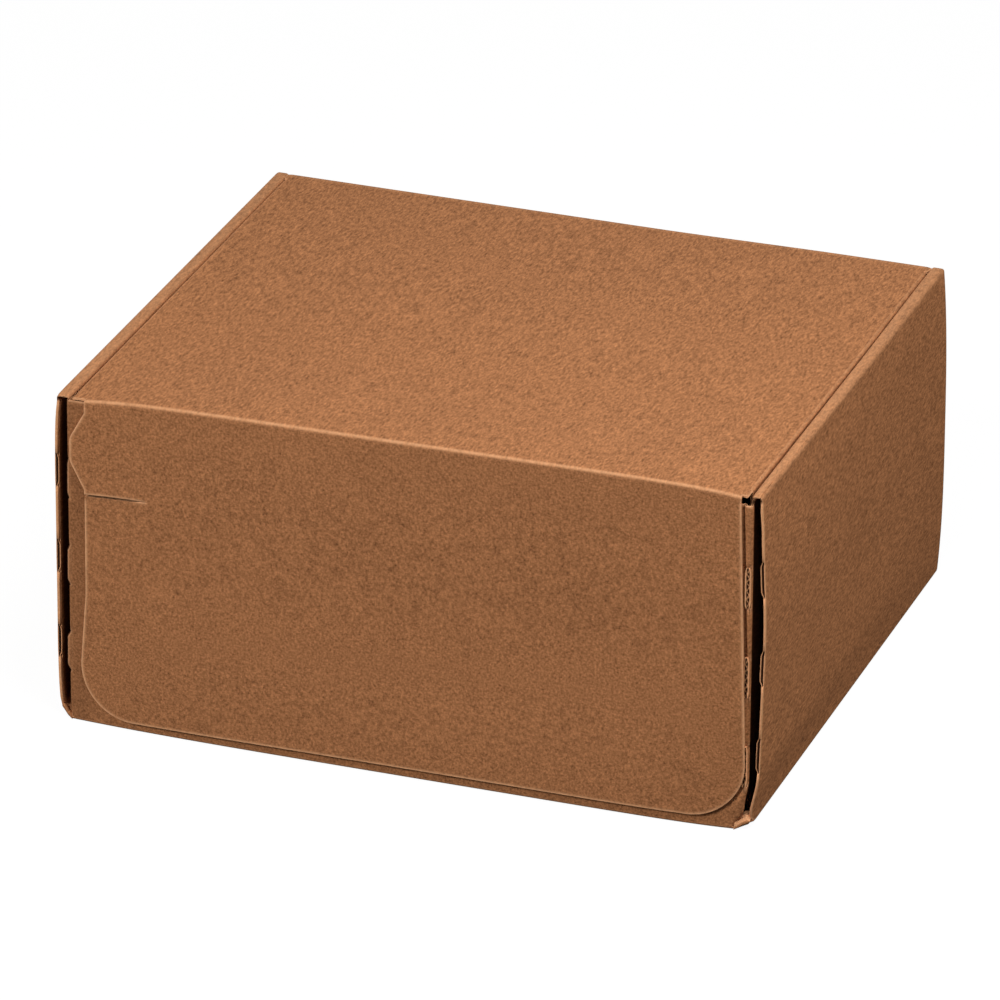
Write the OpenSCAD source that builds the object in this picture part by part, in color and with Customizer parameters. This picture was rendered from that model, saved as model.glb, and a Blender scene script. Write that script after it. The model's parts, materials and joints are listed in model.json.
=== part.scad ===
// Folded corrugated mailer box with rolled side walls, web corners, a hinged lid and an outer front flap.
// Millimetres. The base stands on z = 0, the front faces -Y and +X is to the right.

/* [Box] */
// Outer width over the side walls
box_w = 270; // [220:1:400]
// Depth over the front and back walls
box_d = 232; // [200:1:360]
// Height from the underside of the base to the top of the lid
box_h = 130; // [110:1:220]

/* [Board] */
// Thickness of the corrugated board
board_t = 1.1; // [0.8:0.1:1.5]
// Air between two plies that lie on each other, and inner radius of every fold
ply_gap = 0.1; // [0.05:0.05:0.2]

/* [Front wall and web corners] */
// Drop of the front wall's top edge below the top of the lid
front_drop = 3; // [2.5:0.1:6]
// Longest reach of a web between the plies of a side wall, measured from the front wall
web_reach = 105; // [60:1:120]
// Set-back of the side walls' front folds behind the face of the front wall
nose_back = 2; // [1.8:0.1:4]
// Length over which a ply regains its thickness behind the crushed front fold of a side wall
crush_len = 6; // [4:0.5:12]
// Width of the crushed base corner along the front edge
facet_x = 5; // [4:0.5:9]
// Length of the crushed base corner along the side edge
facet_y = 10; // [6:0.5:14]
// Height of the crushed base corner
facet_z = 10; // [6:0.5:14]

/* [Cut-and-crease folds] */
// Length of each cut
cut_len = 14.5; // [8:0.5:20]
// Spacing of the cuts along a fold
cut_pitch = 35.5; // [24:0.5:50]
// Distance from the top of the box to the first cut
cut_drop = 25.5; // [15:0.5:40]
// Depth of a cut behind the side wall's front fold
cut_depth = 2.2; // [1.5:0.1:3]
// Width of the open core that a cut shows in the side wall's front fold
core_w = 0.5; // [0.3:0.05:0.6]

/* [Side and back walls] */
// Length of each tab under the rolled inner walls
tab_len = 32; // [15:1:50]
// Distance of each tab's middle from the middle of its side wall
tab_offset = 52; // [30:1:60]
// Clearance round a tab in its slot in the base
tab_clear = 0.15; // [0.05:0.05:0.4]
// Length of the back wall's end flaps inside the side walls
end_flap_len = 70; // [30:1:75]
// Clearance between the ends of a rolled inner wall and the front and back walls
end_clear = 0.4; // [0.2:0.1:1]

/* [Lid] */
// Gap between the lid and the rolled side walls
lid_gap = 0.5; // [0.3:0.1:1]
// Set-back of the lid's front corners behind the face of the front wall
lid_set_back = 1.5; // [0.5:0.1:4]
// Depth of the lid's side flaps
side_flap_depth = 45; // [25:1:60]
// Distance of the side flaps' ends from the front and back walls
side_flap_end = 5; // [4:0.5:12]
// Corner radius of the side flaps
side_flap_r = 30; // [10:1:35]
// Clearance at the lid's two folds
fold_clear = 0.1; // [0.05:0.05:0.2]

/* [Front flap] */
// Gap between the flap and the front wall
flap_gap = 0.3; // [0.2:0.1:1]
// Height of the flap's lower edge above the base
flap_lift = 3.2; // [2:0.1:10]
// Distance of the fold's left end from the left side of the box
flap_left = 11.3; // [9:0.1:16]
// Distance of the fold's right end from the right side of the box
flap_right = 6.8; // [6:0.1:16]
// Widening of the flap at its lower left corner
flare_left = 2; // [0:0.1:3]
// Widening of the flap at its lower right corner
flare_right = 3.7; // [0:0.1:4]
// Radius of the flap's lower corners
flap_r = 17; // [8:0.5:25]

/* [Ear and slit] */
// How far the ear stands out of the flap's left edge
ear_out = 5.8; // [3:0.1:7]
// Distance from the fold to the top of the ear
ear_start = 5; // [3:0.5:10]
// Height of the ear's upper slope
ear_rise = 10; // [6:0.5:15]
// Height of the ear's straight edge
ear_edge = 8; // [4:0.5:15]
// Height of the ear's lower slope
ear_fall = 11; // [6:0.5:15]
// Radius of the ear's corners
ear_r = 5; // [1:0.5:6]
// Distance from the foot of the ear to the slit
slit_below = 3; // [1:0.5:8]
// Length of the slit
slit_len = 23; // [10:0.5:40]
// Width of the slit
slit_w = 0.4; // [0.2:0.1:1]

/* [Hidden] */
$fn = 48;
kraft = [0.66, 0.45, 0.30];
over = 0.5;

// Plies of a side wall, counted inwards from its outer face: outer wall, web half on the
// side wall, web half on the front wall, rolled inner wall.
ply = board_t + ply_gap;
fold_r = ply;
half_w = box_w / 2;
front_inset = 2 * ply;
strip_w = 3 * ply + board_t;

// Planes along Y. The flap is the foremost piece, and the origin is under the middle of the whole box.
flap_stand = flap_gap + board_t;
front_y = (flap_stand - box_d) / 2;
back_y = (flap_stand + box_d) / 2;
nose_y = front_y + nose_back;

// Heights
web_top = box_h - front_drop;
back_top = box_h - board_t - fold_clear;
axis_z = box_h - board_t / 2;

// Fold lines of the lid
hinge_y = back_y - board_t / 2;
flap_y = front_y - flap_gap - board_t / 2;
lid_half = half_w - strip_w - lid_gap;
flap_x0 = flap_left - half_w;
flap_x1 = half_w - flap_right;

// Number of cuts that fit between the first one and the base corner
cut_count = floor((box_h - cut_drop - cut_len - facet_z / 2) / cut_pitch) + 1;

// Point at distance d from a on the way to b
function toward(a, b, d) = a + (b - a) * d / norm(b - a);

// Angle at b between its neighbours a and c
function corner_angle(a, b, c) = acos((a - b) * (c - b) / (norm(a - b) * norm(c - b)));

// Distance from corner b to the points where an arc of radius r touches its two sides
function tangent_len(a, b, c, r) = r / tan(corner_angle(a, b, c) / 2);

// Centre of that arc
function arc_centre(a, b, c, r) =
    toward(b, (toward(b, a, 1) + toward(b, c, 1)) / 2, r / sin(corner_angle(a, b, c) / 2));

// Closed outline whose outward corners are rounded by their own radii
module rounded_outline(points, radii) {
    n = len(points);
    before = [for (i = [0 : n - 1]) points[(i + n - 1) % n]];
    after = [for (i = [0 : n - 1]) points[(i + 1) % n]];
    ends = [for (i = [0 : n - 1]) radii[i] == 0 ? [points[i]] :
        let (m = tangent_len(before[i], points[i], after[i], radii[i]))
        [toward(points[i], before[i], m), toward(points[i], after[i], m)]];
    polygon([for (pair = ends) each pair]);
    for (i = [0 : n - 1])
        if (radii[i] > 0)
            intersection() {
                translate(arc_centre(before[i], points[i], after[i], radii[i])) circle(radii[i]);
                polygon([ends[i][0], points[i], ends[i][1]]);
            }
}

// Section of a right-angled fold, round its centre, in the quadrant +X +Y
module fold_section() {
    intersection() {
        difference() {
            circle(fold_r);
            circle(ply_gap);
        }
        square(fold_r);
    }
}

// Extrudes a section in X and Z along Y, from y0 to y1
module along_y(y0, y1) {
    translate([0, y1, 0]) rotate([90, 0, 0]) linear_extrude(y1 - y0) children();
}

// Extrudes a section in Y and Z along X, from x0 to x1
module along_x(x0, x1) {
    translate([x0, 0, 0]) rotate([90, 0, 90]) linear_extrude(x1 - x0) children();
}

// Extrudes a section in X and Y upwards, from z0 to z1
module upwards(z0, z1) {
    translate([0, 0, z0]) linear_extrude(z1 - z0) children();
}

module both_sides() {
    children();
    mirror([1, 0, 0]) children();
}

// Base panel between its four folds, with the slots for the tabs of the inner walls
module base() {
    difference() {
        translate([fold_r - half_w, front_y + fold_r, 0])
            cube([box_w - 2 * fold_r, box_d - 2 * fold_r, board_t]);
        both_sides() for (side = [-1, 1])
            translate([half_w - strip_w - tab_clear, side * tab_offset - tab_len / 2 - tab_clear, -over])
                cube([board_t + 2 * tab_clear, tab_len + 2 * tab_clear, board_t + 2 * over]);
    }
}

// Right side wall: outer wall with its base fold, rolled over at the top
module outer_wall_section() {
    translate([half_w - fold_r, fold_r]) mirror([0, 1]) fold_section();
    translate([half_w - board_t, fold_r]) square([board_t, box_h - 2 * fold_r]);
}

module roll_section() {
    translate([half_w - fold_r, box_h - fold_r]) fold_section();
    translate([half_w - strip_w + fold_r, box_h - board_t]) square([strip_w - 2 * fold_r, board_t]);
    translate([half_w - strip_w + fold_r, box_h - fold_r]) mirror([1, 0]) fold_section();
}

module inner_wall_section() {
    translate([half_w - strip_w, ply]) square([board_t, box_h - fold_r - ply]);
}

module side_wall() {
    along_y(nose_y + board_t / 2, back_y) outer_wall_section();
    along_y(nose_y, back_y) roll_section();
    along_y(max(nose_y, front_y + board_t + end_clear), back_y - board_t - end_clear) inner_wall_section();
    for (side = [-1, 1])
        translate([half_w - strip_w, side * tab_offset - tab_len / 2, 0]) cube([board_t, tab_len, ply + over]);
}

// Front wall with its base fold and the folds to the webs at both ends
module front_wall() {
    along_x(front_inset - half_w, half_w - front_inset)
        translate([front_y + fold_r, fold_r]) rotate(180) fold_section();
    translate([front_inset + fold_r - half_w, front_y, fold_r])
        cube([box_w - 2 * (front_inset + fold_r), board_t, web_top - fold_r]);
    both_sides() upwards(fold_r, web_top)
        translate([half_w - front_inset - fold_r, front_y + fold_r]) mirror([0, 1]) fold_section();
}

// Side view of a web: it ends at the diagonal crease that rises from the base corner
module web_outline() {
    intersection() {
        translate([front_y, 0]) square([web_reach, web_top]);
        polygon([[front_y, 0], [front_y + box_h, box_h], [front_y, box_h]]);
    }
}

// Right web: one half on the front wall, one on the side wall, joined at the diagonal crease
module web() {
    intersection() {
        along_x(half_w - strip_w, half_w) web_outline();
        union() {
            translate([half_w - front_inset - board_t, front_y + fold_r, 0])
                cube([board_t, web_reach, box_h]);
            translate([half_w - front_inset + ply_gap, nose_y + crush_len, 0])
                cube([board_t, web_reach, box_h]);
            translate([half_w - strip_w / 2, front_y, 0]) rotate([-45, 0, 0])
                cylinder(r = board_t, h = 2 * box_h);
        }
    }
    upwards(fold_r, web_top) polygon([
        [half_w - board_t, nose_y + board_t / 2],
        [half_w - ply - board_t, nose_y + crush_len],
        [half_w - ply, nose_y + crush_len],
        [half_w - board_t, nose_y + 2 * board_t]]);
    translate([half_w - board_t / 2, nose_y + board_t / 2, fold_r])
        cylinder(d = board_t, h = box_h - 2 * fold_r);
}

// Cuts of the right corner's two folds: through the front wall's fold, and into the side wall's
module fold_cuts() {
    for (i = [0 : cut_count - 1])
        translate([0, 0, box_h - cut_drop - cut_len - i * cut_pitch]) {
            translate([half_w - front_inset - fold_r, front_y - over, 0])
                cube([fold_r + ply_gap / 2, fold_r + over, cut_len]);
            translate([half_w - board_t - ply_gap, nose_y - over, 0])
                cube([board_t + over, board_t / 2 + over, cut_len]);
            translate([half_w - (board_t + core_w) / 2, nose_y - over, 0])
                cube([core_w, cut_depth + over, cut_len]);
        }
}

// Everything within depth d behind the plane that crushes the right front corner of the base
module facet_space(d) {
    leg = [1 / facet_x, -1 / facet_y, -1 / facet_z];
    normal = leg / norm(leg);
    size = box_w;
    translate([half_w - facet_x, front_y, 0])
        rotate(a = acos(normal.z), v = cross([0, 0, 1], normal))
            translate([-size / 2, -size / 2, -d]) cube([size, size, d + size]);
}

// Board that closes the crushed base corner, from the front wall's fold to the side wall's
module facet() {
    x0 = half_w - 2 * facet_x;
    y1 = front_y + 2 * facet_y;
    difference() {
        intersection() {
            facet_space(board_t);
            upwards(0, 2 * facet_z) polygon([
                [x0, front_y], [half_w - front_inset, front_y], [half_w, nose_y], [half_w, y1], [x0, y1]]);
        }
        facet_space(0);
    }
}

// Back wall with its base fold and its end flaps between the plies of the side walls
module back_wall() {
    wall_half = half_w - ply;
    along_x(-wall_half, wall_half)
        translate([back_y - fold_r, fold_r]) mirror([0, 1]) fold_section();
    translate([fold_r - wall_half, back_y - board_t, fold_r])
        cube([2 * (wall_half - fold_r), board_t, back_top - fold_r]);
    both_sides() {
        upwards(fold_r, web_top) translate([wall_half - fold_r, back_y - fold_r]) fold_section();
        translate([wall_half - board_t, back_y - end_flap_len, fold_r])
            cube([board_t, end_flap_len - fold_r, web_top - fold_r]);
    }
}

module tray() {
    color(kraft) {
        difference() {
            union() {
                base();
                front_wall();
                back_wall();
                both_sides() {
                    side_wall();
                    web();
                }
            }
            both_sides() {
                fold_cuts();
                facet_space(0);
            }
        }
        both_sides() facet();
    }
}

// Side flap of the lid in side view, from the lid's fold down
module side_flap_outline() {
    y0 = front_y + board_t + side_flap_end;
    y1 = back_y - board_t - side_flap_end;
    z0 = box_h - side_flap_depth;
    rounded_outline(
        [[y0, box_h - fold_r], [y0, z0], [y1, z0], [y1, box_h - fold_r]],
        [0, side_flap_r, side_flap_r, 0]);
}

// Lid panel with its side flaps, the round back fold, and the tongue that carries the front flap
module lid() {
    flap_start = front_y + board_t + side_flap_end;
    flap_end = back_y - board_t - side_flap_end;
    lid_front = front_y + lid_set_back;
    tongue_y = flap_y + board_t / 2 + fold_clear;
    color(kraft) {
        along_x(fold_r - lid_half, lid_half - fold_r) {
            translate([lid_front, box_h - board_t]) square([hinge_y - lid_front, board_t]);
            translate([hinge_y, axis_z]) circle(d = board_t);
        }
        translate([flap_x0, tongue_y, box_h - board_t])
            cube([flap_x1 - flap_x0, lid_front - tongue_y + over, board_t]);
        both_sides() {
            along_y(flap_start, flap_end) translate([lid_half - fold_r, box_h - fold_r]) fold_section();
            along_x(lid_half - board_t, lid_half) side_flap_outline();
            translate([lid_half - fold_r, lid_front, box_h - board_t])
                cube([fold_r, flap_start - lid_front, board_t]);
            along_x(lid_half - fold_r, lid_half) {
                translate([flap_end, box_h - board_t]) square([hinge_y - flap_end, board_t]);
                translate([hinge_y, axis_z]) circle(d = board_t);
            }
        }
    }
}

// Front view of the flap, from its fold down, with the ear and the slit on its left edge
module flap_outline() {
    ear_top = axis_z - ear_start;
    ear_foot = ear_top - ear_rise - ear_edge - ear_fall;
    difference() {
        rounded_outline([
            [flap_x0, axis_z],
            [flap_x0, ear_top],
            [flap_x0 - ear_out, ear_top - ear_rise],
            [flap_x0 - ear_out, ear_foot + ear_fall],
            [flap_x0, ear_foot],
            [flap_x0 - flare_left, flap_lift],
            [flap_x1 + flare_right, flap_lift],
            [flap_x1, axis_z]],
            [0, 0, ear_r, ear_r, 0, flap_r, flap_r, 0]);
        translate([flap_x0 - ear_out, ear_foot - slit_below - slit_w])
            square([ear_out + slit_len, slit_w]);
    }
}

module front_flap() {
    color(kraft) {
        along_y(flap_y - board_t / 2, flap_y + board_t / 2) flap_outline();
        translate([flap_x0, flap_y, axis_z]) rotate([0, 90, 0])
            cylinder(d = board_t, h = flap_x1 - flap_x0);
    }
}

tray();
lid();
front_flap();
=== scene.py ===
"""A closed mailer box folded from kraft corrugated board, with its camera, light and floor. Metres."""
import json
import math

import bpy
import numpy as np
from mathutils import Matrix, Vector
from mathutils.kdtree import KDTree


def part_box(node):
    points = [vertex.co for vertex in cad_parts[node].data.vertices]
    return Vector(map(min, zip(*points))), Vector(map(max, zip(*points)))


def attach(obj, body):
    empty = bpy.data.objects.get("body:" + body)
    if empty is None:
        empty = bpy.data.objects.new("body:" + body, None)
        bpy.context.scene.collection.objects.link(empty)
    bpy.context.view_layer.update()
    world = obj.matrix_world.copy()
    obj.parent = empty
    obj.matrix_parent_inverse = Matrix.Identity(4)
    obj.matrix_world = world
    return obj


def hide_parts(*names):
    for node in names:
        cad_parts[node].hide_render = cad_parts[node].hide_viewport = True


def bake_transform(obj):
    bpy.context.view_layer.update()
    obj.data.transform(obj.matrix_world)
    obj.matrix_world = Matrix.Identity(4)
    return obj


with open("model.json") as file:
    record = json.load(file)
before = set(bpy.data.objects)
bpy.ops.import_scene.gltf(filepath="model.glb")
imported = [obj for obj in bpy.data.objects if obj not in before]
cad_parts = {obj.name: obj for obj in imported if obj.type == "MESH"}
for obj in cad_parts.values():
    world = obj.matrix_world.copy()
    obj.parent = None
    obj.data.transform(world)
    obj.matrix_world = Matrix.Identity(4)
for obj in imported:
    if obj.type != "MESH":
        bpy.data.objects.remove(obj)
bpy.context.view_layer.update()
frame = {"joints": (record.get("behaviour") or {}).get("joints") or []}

MM = 0.001
TINY = 1e-6
NO_LENGTH = 1e-12

# Sizes from the frame
tray_low, tray_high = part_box("tray")
lid_low, lid_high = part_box("lid")
flap_low, flap_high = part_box("front_flap")
joint_at = {joint["name"]: joint["pos_m"] for joint in frame["joints"]}

HALF_W = tray_high.x
FRONT_Y = tray_low.y
BACK_Y = tray_high.y
TOP = tray_high.z
BOARD = flap_high.y - flap_low.y
FLAP_Y = joint_at["flap_hinge"][1]
HINGE_Y = joint_at["lid_hinge"][1]
AXIS_Z = joint_at["lid_hinge"][2]
LID_HALF = lid_high.x
SIDE_FLAP_FOOT = lid_low.z
FLAP_FOOT = flap_low.z

# Board and its folds
PLY_GAP = 0.1 * MM
PLY = BOARD + PLY_GAP
FOLD_R = PLY
MID_R = PLY_GAP + BOARD / 2
STRIP_W = 3 * PLY + BOARD
FRONT_INSET = 2 * PLY
FRONT_MID = FRONT_Y + BOARD / 2
WEB_TOP = TOP - 3 * MM
BACK_TOP = TOP - PLY
FOLD_FLAT = AXIS_Z - MID_R - WEB_TOP
END_FLAP = 70 * MM

# Side walls' noses at the front, and their roll-over strips
NOSE_Y = FRONT_Y + 2 * MM
NOSE_TOP = 2.5 * MM
NOSE_FOOT = 2 * MM
NOSE_FOOT_RUN = 4 * MM
NOSE_SWELL_LEFT = 0.6
NOSE_SWELL_CUT = 1.3
NOSE_SWELL_WIDE = 1.5 * MM
NOSE_SWELL_IN = 0.6
STRIP_DEEP = 3 * MM
STRIP_RUN = 2 * MM
STRIP_OUT = 1.2 * MM
STRIP_PRESS = 0.55
STRIP_PRESS_WIDE = 2 * MM

# Webs in the front corners, with painted shade in the grooves between them and the walls
WEB_REACH = 105 * MM
WEB_LEAST = 3 * MM
WEB_START = 0.5 * MM
WEB_SPREAD = 14 * MM
WEB_DIP = 1.2 * MM
WEB_DIP_RUN = 4 * MM
WEB_DIP_BACK = 6 * MM
WEB_DIP_BACK_RUN = 10 * MM
WEB_BACK_LEAST = 2 * MM
WEB_BACK_POWER = 1.6
WEB_SET_IN = 0.8
WEB_THIN = 0.35
GROOVE_PAINTED_SHADE = 0.8
GROOVE_EASE = 3 * MM

# Cuts in the web folds at the right, 1, and the left, -1, on the front wall and on the noses: drop of the
# first below the top, length and pitch
WALL_CUTS = {1: np.array((27.2, 15.8, 34.8)) * MM, -1: np.array((24.5, 15.8, 34.8)) * MM}
NOSE_CUTS = {1: np.array((25.5, 13.6, 34.2)) * MM, -1: np.array((24.0, 13.1, 34.5)) * MM}
CUT_COUNT = 3
CUT_EASE = 0.3 * MM
CUT_TAPER = 2.5 * MM
CUT_FLARE = 2.0
CUT_FLARE_LEAST = 0.55
CUT_HALF = CUT_FLARE * BOARD / 2
CUT_SET_IN = 0.1 * MM
CUT_GAP = 0.15 * MM
CUT_LEAN = 0.02 * MM
CUT_END_OUT = 0.05 * MM
CUT_END_DEPTHS = np.array((0, 0.25, 0.6, 1.1, 1.9, 2.8)) * MM

# Front wall: its folds, in from the box's sides, its top edge and the painted shade on its left end
WALL_LEFT = -HALF_W + 3.6 * MM
WALL_RIGHT = HALF_W - 3.9 * MM
WALL_RIGHT_LEAN = 0.0265
WALL_RIGHT_SLIDE = 1.6 * MM
WALL_SLIDE_TOP = 20 * MM
WALL_SLIDE_RUN = 12 * MM
WALL_CUT_OUT_TOP = -0.5 * MM
WALL_CUT_OUT_FOOT = 0.8 * MM
WALL_TOP_DROP = 0.7 * MM
WALL_TOP_RISE = 2.2 * MM
WALL_TOP_RISE_FROM = 95 * MM
WALL_TOP_RISE_RUN = 25 * MM
WALL_TOP_REACH = 20 * MM
# Painted shade on the front wall's left end: how dark, where it starts and over what run
WALL_PAINTED_SHADE = 0.2
WALL_PAINTED_SHADE_FROM = 119 * MM
WALL_PAINTED_SHADE_RUN = 5 * MM

# Ridge on the front wall beside the flap, and the crease along the flap's edge
RIDGE = 0.9 * MM
RIDGE_GAP = 0.8 * MM
RIDGE_RISE = 0.9 * MM
RIDGE_FOOT = 4 * MM
RIDGE_FOOT_RUN = 10 * MM
CREASE = 0.8 * MM
CREASE_WIDE = 0.8 * MM
CREASE_FOOT = 26 * MM
CREASE_FOOT_RUN = 14 * MM

# Facets at the front base corners, at the right, 1, and the left, -1
FACET_X = {1: 5.5 * MM, -1: 4.3 * MM}
FACET_Y = 8.5 * MM
FACET_TOP = 5 * MM
FACET_FOOT = 2 * MM
FACET_FOOT_IN = 0.5 * MM
FACET_THIN = 0.12
FACET_TAPER = 0.2
FOLD_END = {1: np.array((0.5, -2.4, -0.8)) * MM, -1: np.array((-0.4, 0, 0)) * MM}
SHELF_FRONT = {1: np.array((0.2, 0.3, 2.5)) * MM, -1: np.array((0.2, 0.6, 2.5)) * MM}
SHELF_SIDE = {1: np.array((0, -0.6, -1.1)) * MM, -1: np.array((-0.8, 2.5, 0.8)) * MM}
SHELF_ARCH = {1: np.array((0.5, 0.9, 2.3)) * MM, -1: np.array((-0.6, 3.2, -0.3)) * MM}
SHELF_BACK = np.array((-0.4, 3.0, 0.2)) * MM

# Inner side walls, and their tabs in the base's slots
INNER_FRONT = FRONT_Y + 12 * MM
INNER_BACK = BACK_Y - 1.5 * MM
TAB_PLACES = (-52 * MM, 52 * MM)
TAB_LONG = 32 * MM
TAB_FOOT = 0.05 * MM
SLOT_CLEAR = 0.15 * MM
SLOT_PAST = 2 * MM
SLOT_COLUMN = 2

# Lid: its side flaps, its front fold, and the seams beside the roll-over strips
LID_FRONT = FRONT_Y + 0.3 * MM
LID_CURL_END = 15
LID_FOLD_R = 0.7 * MM
LID_FOLD_REACH = 1.3 * MM
SIDE_FLAP_FRONT = lid_low.y + 6 * MM
SIDE_FLAP_BACK = BACK_Y - 6.1 * MM
SIDE_FLAP_ROUND = 30 * MM
SEAM_FRONT = 0.5 * MM
SEAM_BACK = -0.25 * MM
SEAM_LONG = 0.95
SEAM_IN = 8 * MM
SEAM_RUN = 6 * MM
SEAM_LAP = 0.8 * MM
SEAM_LAP_RUN = 3 * MM

# Front flap, and how it hangs
FLAP_LEFT = -123.9 * MM
FLAP_RIGHT = 127.0 * MM
FLAP_FLARE_LEFT = 3.5 * MM
FLAP_FLARE_RIGHT = 7.2 * MM
FLAP_ROUND = 21 * MM
FLAP_BEND_DROP = 40 * MM
FLAP_BEND_ROUND = 40 * MM
FLAP_FOOT_RISE = 1.3 * MM
FLAP_FOOT_CROWN = 0.6 * MM
FLAP_FOOT_LEFT = 0.6 * MM
FLAP_STAND = 0.3 * MM
FLAP_STAND_RUN = 0.4
FLAP_TUCK = 0.5 * MM
FLAP_TUCK_ACROSS = 0.8
FLAP_TUCK_ACROSS_RUN = 0.2
FLAP_TUCK_BELOW = 0.6
FLAP_TUCK_BELOW_RUN = 0.3

# Flap's ear, and the slit under it
EAR_OUT = 5.8 * MM
EAR_TOP = AXIS_Z - 4.6 * MM
EAR_TOP_ROUND = 1.5 * MM
EAR_EDGE = (AXIS_Z - 15 * MM, AXIS_Z - 24.2 * MM)
EAR_ROUND = 5 * MM
EAR_FOOT = AXIS_Z - 35 * MM
EAR_FOOT_ROUND = 2 * MM
SLIT_Z = AXIS_Z - 37.2 * MM
SLIT_WIDE = 0.9 * MM
SLIT_WIDE_REACH = 1.5 * MM
SLIT_LONG = 23 * MM
SLIT_CLOSE = 6 * MM
SLIT_LIP = 0.45 * MM
SLIT_LIP_REACH = 8 * MM
SLIT_RIM_REACH = 2 * MM

# How the box has settled: shifts, in millimetres, of its corners, named by right, back and top
CORNER_SHIFT = {
    (1, 1, 1): (0.18, -0.98, -2.34),
    (0, 1, 1): (-0.82, -0.40, -0.20),
    (0, 0, 1): (0.57, 0.59, 0.72),
    (1, 0, 1): (0.61, 1.02, 1.73),
    (1, 0, 0): (-1.63, -1.46, 0),
    (0, 0, 0): (0.38, -0.25, 0),
    (1, 1, 0): (0.72, 1.49, 0),
    (0, 1, 0): (0, 0, 0),
}

# How its panels have bowed
BULGE_ALL = 0.45 * MM
BULGE_RIGHT_FRONT = 2.75 * MM
BULGE_RIGHT_FOOT = 2 * MM
BULGE_RIGHT_FOOT_RUN = 20 * MM
BULGE_RIGHT_TOP = TOP - 3 * MM
BULGE_RIGHT_TOP_RUN = 56 * MM
BULGE_RIGHT_BACK = 1.9 * MM
BULGE_RIGHT_BACK_POWER = 3
BULGE_LEFT_FRONT = 1.65 * MM
BULGE_LEFT_FRONT_POWER = 8
BULGE_LEFT_BACK = 0.5 * MM
BULGE_LEFT_BACK_POWER = 4
NOSE_TUCK = 0.6 * MM
NOSE_TUCK_DROP = 14 * MM
NOSE_TUCK_RUN = 10 * MM
BELLY = 2.8 * MM
BELLY_REACH = 80 * MM
BELLY_POWER_RIGHT = 8
BELLY_POWER_LEFT = 4
LIFT = 0.7 * MM
LIFT_FROM = 20 * MM
LIFT_RUN_X = 80 * MM
LIFT_RUN_Y = 90 * MM
LIFT_DEEP = 30 * MM
LIFT_RUN_Z = 26 * MM
FOLD_BOW = 1.9 * MM
FOLD_BOW_REACH = 70 * MM
FOLD_BOW_POWER = 8

# Mesh spacing
STEP = 6 * MM
SHORT_STEP = 1.5 * MM
WALL_STEP = 2.5 * MM
SIDE_STEP = 3.5 * MM
SIDE_CUT_STEP = 2 * MM
SIDE_FLAP_STEP = 3 * MM
FLAP_FOLD_STEP = 2 * MM
CUT_STEP = 1.1 * MM
FINE_STEP = 0.55 * MM
EDGE_STEP = 0.4 * MM
NEAR_EDGE = (0, 0.25 * MM, 0.6 * MM, 1.1 * MM, 1.9 * MM)
NEAR_SHORT_EDGE = (0, 0.3 * MM)
NEAR_BASE_EDGE = 0.8 * MM
NEAR_FOLD = np.array((4.0, 3.2, 2.6, 2.1, 1.7, 1.3, 1.0, 0.7, 0.4, 0.2)) * MM
ALONG_SLIT = (4 * MM, 8 * MM, 13 * MM, 18 * MM, 22 * MM, SLIT_LONG, SLIT_LONG + 2 * MM)

# Numbers of cells in the patches, along their rows or columns
ARC_STEPS = 8
HALF_ARC = ARC_STEPS // 2
FLAP_ARC_STEPS = 10
ROUND_STEPS = 16
FLAT_STEPS = 3
FOLD_COLUMNS = 59
WALL_COLUMNS = 41
WEB_COLUMNS = 24
WEB_ROWS = 43
STRIP_ROWS = 6
INNER_ROWS = 21
TAB_ROWS = 4
BACK_ROWS = 25
BACK_TOP_ROWS = 4
BACK_TOP_COLUMNS = 5
END_FLAP_COLUMNS = 19
FACET_COLUMNS = 16
SHELF_BACK_ROWS = 3
SHELF_ROWS = 8
SLIVER_ROWS = 5
LID_CORNER_ROWS = 5
LID_LAP_COLUMNS = 4
SIDE_FLAP_COLUMNS = 21
FLAP_UPPER_ROWS = 62
FLAP_LOWER_ROWS = 131
FLAP_CORNER_ROWS = 27

# Cut edges: pressed thinner by the die, with the flutes of the core showing and painted shade in their
# hollows
PRESS = 0.35
PRESS_WIDE = 0.7 * MM
RIM_WIDE = 0.45 * MM
FLAP_RIM_WIDE = 0.65 * MM
RIM_RINGS = (0.9, 0.62, 0.48, 0.24, 0, -0.24, -0.48, -0.62, -0.9)
ROUND_POWER = 4
CORE_HALF = 0.5
LAYER_HALF = 0.12
FLUTE_PITCH = 3.3 * MM
FLUTE_DEEP = 0.4 * MM
CORE_DEEP = 0.3 * MM

# Wear: how far the liner is paler at cut edges, folds and facet folds, and painted light on the facets'
# shelves
RIM_WEAR = 0.8
RIM_WEAR_INSIDE = 0.3
CUT_WEAR = 0.6
BASE_FOLD_WEAR = 0.2
BACK_FOLD_WEAR = 0.15
FLAP_FOLD_WEAR = 0.8
FLAP_FOLD_WEAR_WIDE = 0.5 * MM
ROLL_WEAR = 0.3
ROLL_WEAR_WIDE = 1.5 * MM
SIDE_FLAP_WEAR = 0.35
SIDE_FLAP_WEAR_WIDE = 1.0 * MM
FACET_FOLD_WEAR = 0.85
FACET_FOLD_WEAR_WIDE = 0.16
# Painted light on the facets' shelves, much more at the right
SHELF_PAINTED_LIGHT = {1: 0.7, -1: 0.1}

# Camera
CAMERA_AIM = Vector((-1.838, -2.618, 60.938)) * MM
CAMERA_FAR = 2.8215
CAMERA_TURN = math.radians(19.0699)
CAMERA_RISE = math.radians(24.7620)
CAMERA_ROLL = math.radians(0.3965)
CAMERA_CLIP = 100
LENS_TO_SENSOR = 7.5


def ease(share):
    """Smooth step from 0 to 1."""
    share = np.clip(share, 0, 1)
    return share * share * (3 - 2 * share)


def ramp(value, start, run):
    """Smooth step from 0 to 1 as a value goes on from a start over a run."""
    return ease((value - start) / run)


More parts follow.
